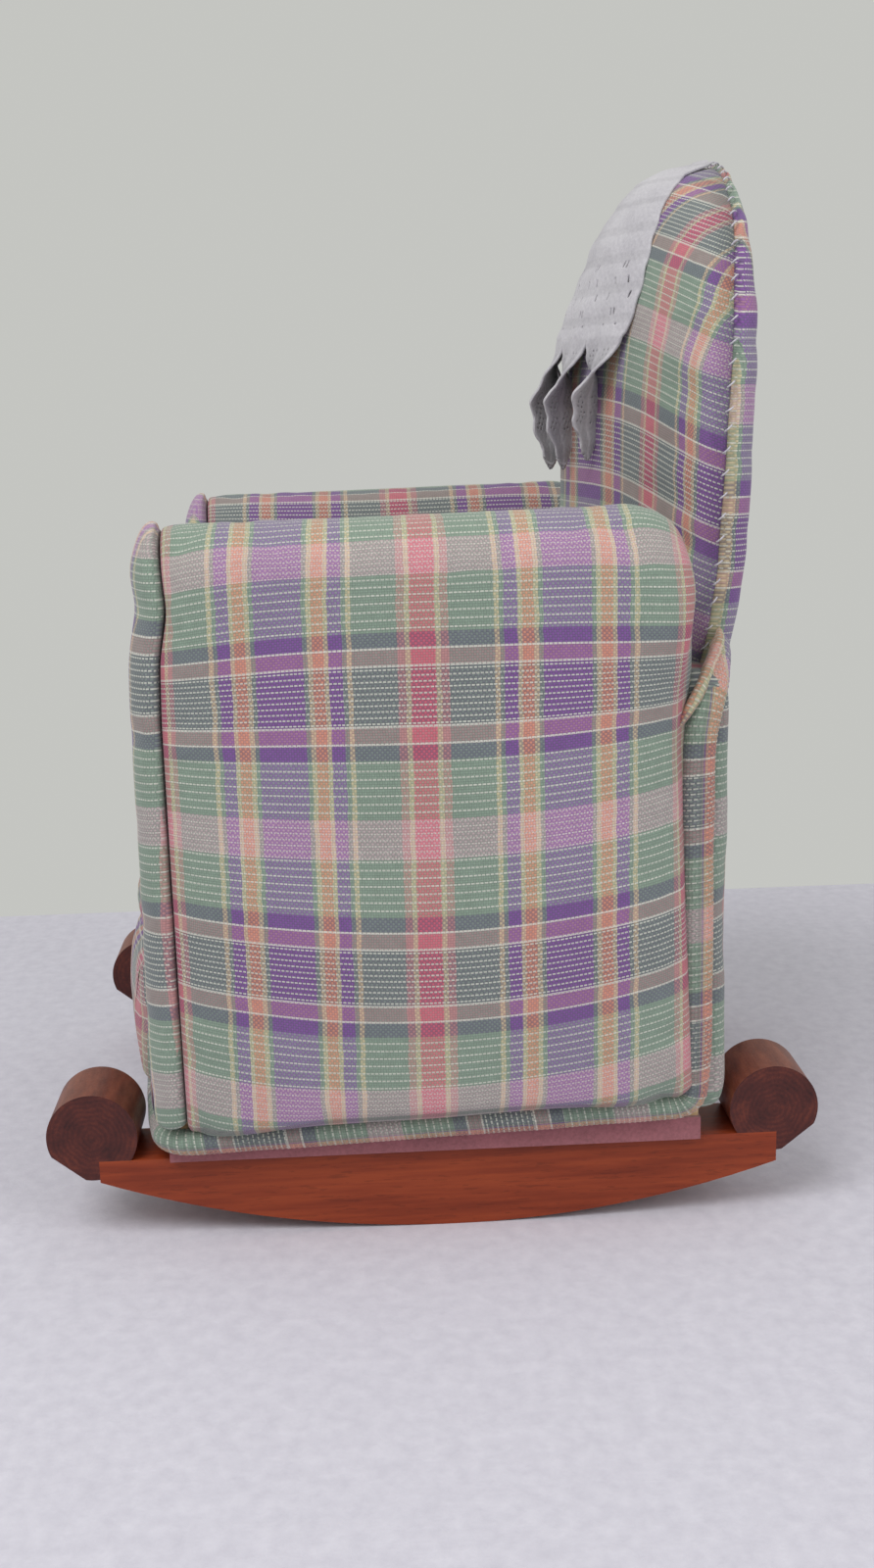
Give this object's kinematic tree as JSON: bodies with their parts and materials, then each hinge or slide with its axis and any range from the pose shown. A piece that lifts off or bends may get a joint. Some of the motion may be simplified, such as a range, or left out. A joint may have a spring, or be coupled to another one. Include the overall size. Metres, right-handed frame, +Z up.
{
  "type": "miniature rocking chair",
  "caption": "Miniature upholstered armchair on curved wooden runners with scrolled ends, with a loose seat cushion and a lace doily over an arched back.",
  "frame": {"origin": "on the floor under the middle of the chair, halfway between the ends of the runners", "axes": "+Z up, -Y the way the chair faces, +X the sitter's left"},
  "size_m": [0.1236, 0.138, 0.1893],
  "materials": {
    "plaid_cotton": "woven plaid cotton in sage, lilac, peach and pink with white cords",
    "wadding": "soft polyester wadding",
    "pink_felt": "matt felt",
    "lace": "starched crocheted lace",
    "runner_wood": "stained orange-brown, satin varnish",
    "scroll_wood": "stained dark red-brown end grain, satin varnish",
    "plywood": "bare plywood",
    "card": "grey-brown card",
    "screw_steel": "zinc plated"
  },
  "bodies": {
    "chair": {"apron_cover": "plaid_cotton", "apron_wadding": "wadding", "backrest_board": "plywood", "backrest_cover": "plaid_cotton", "backrest_rear_panel": "plaid_cotton", "backrest_wadding": "wadding", "base_board": "plywood", "base_felt": "pink_felt", "body_back_cover": "plaid_cotton", "body_back_wadding": "wadding", "carcass_back_board": "plywood", "foot_piping": "plaid_cotton", "front_board": "plywood", "lace_doily": "lace", "left_arm_cover": "plaid_cotton", "left_arm_front_card": "card", "left_arm_front_pad": "plaid_cotton", "left_arm_wadding": "wadding", "left_front_scroll": "scroll_wood", "left_rear_scroll": "scroll_wood", "left_rocker": "runner_wood", "left_side_board": "plywood", "right_arm_cover": "plaid_cotton", "right_arm_front_card": "card", "right_arm_front_pad": "plaid_cotton", "right_arm_wadding": "wadding", "right_front_scroll": "scroll_wood", "right_rear_scroll": "scroll_wood", "right_rocker": "runner_wood", "right_side_board": "plywood", "rocker_screws": "screw_steel", "seat_deck": "plywood"},
    "cushion": {"seat_cushion_filling": "wadding", "seat_cushion_cover": "plaid_cotton"}
  },
  "joints": [
    {"name": "seat_cushion_lift", "type": "slide", "parent": "chair", "child": "cushion", "axis": [0, -0.5, 0.866], "range_m": [0, 0.09]}
  ]
}
